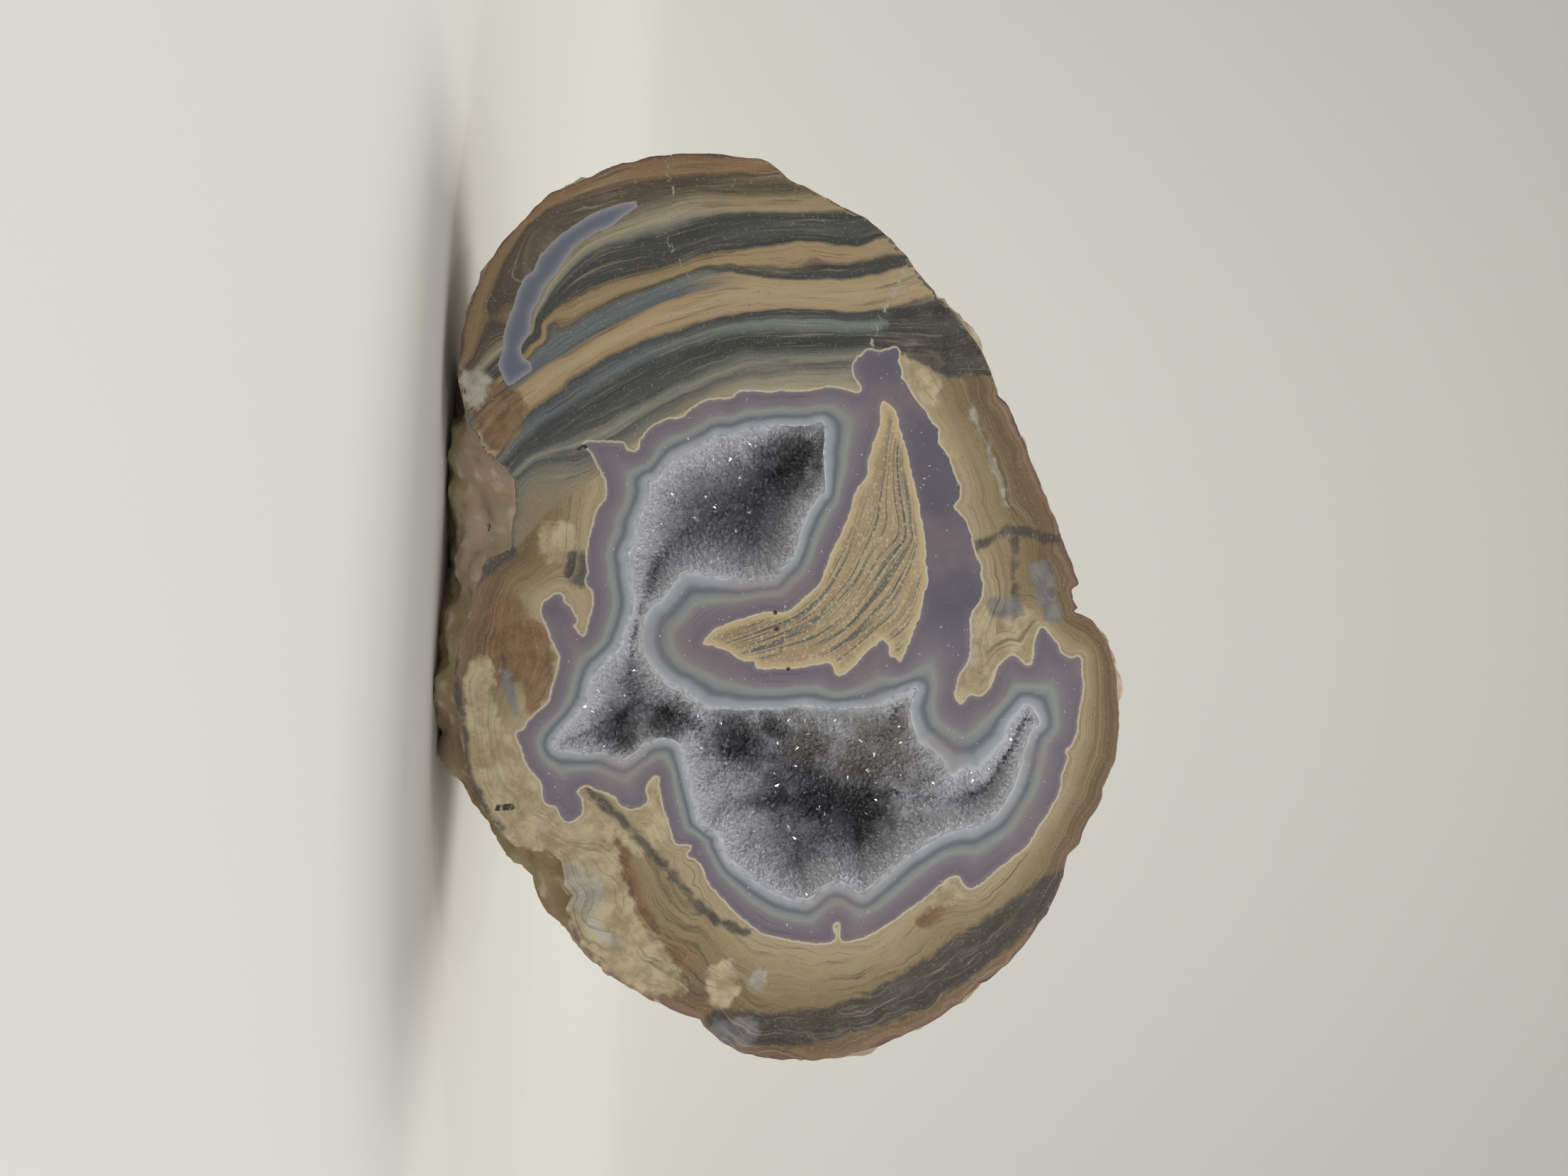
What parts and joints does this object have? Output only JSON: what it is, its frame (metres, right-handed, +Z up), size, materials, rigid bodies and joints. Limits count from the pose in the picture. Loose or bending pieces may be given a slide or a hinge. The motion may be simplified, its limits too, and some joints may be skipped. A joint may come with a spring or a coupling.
{
  "type": "dugway geode",
  "caption": "Half of a Dugway geode, cut and polished: banded rhyolite round grey-violet agate, with a C-shaped hollow lined with drusy quartz, standing on its rough rind.",
  "frame": {"origin": "under the middle of the stone's box, on the surface that it stands on", "axes": "+X to the right across the polished face, +Y from the polished face towards the back of the rind, +Z up"},
  "size_m": [0.1286, 0.0649, 0.0984],
  "materials": {
    "rhyolite": "polished on the cut face, rough on the rind",
    "drusy_quartz": "glassy crystal faces"
  },
  "bodies": {
    "root": {"stone": "rhyolite", "crystal_crust": "drusy_quartz"}
  },
  "joints": []
}
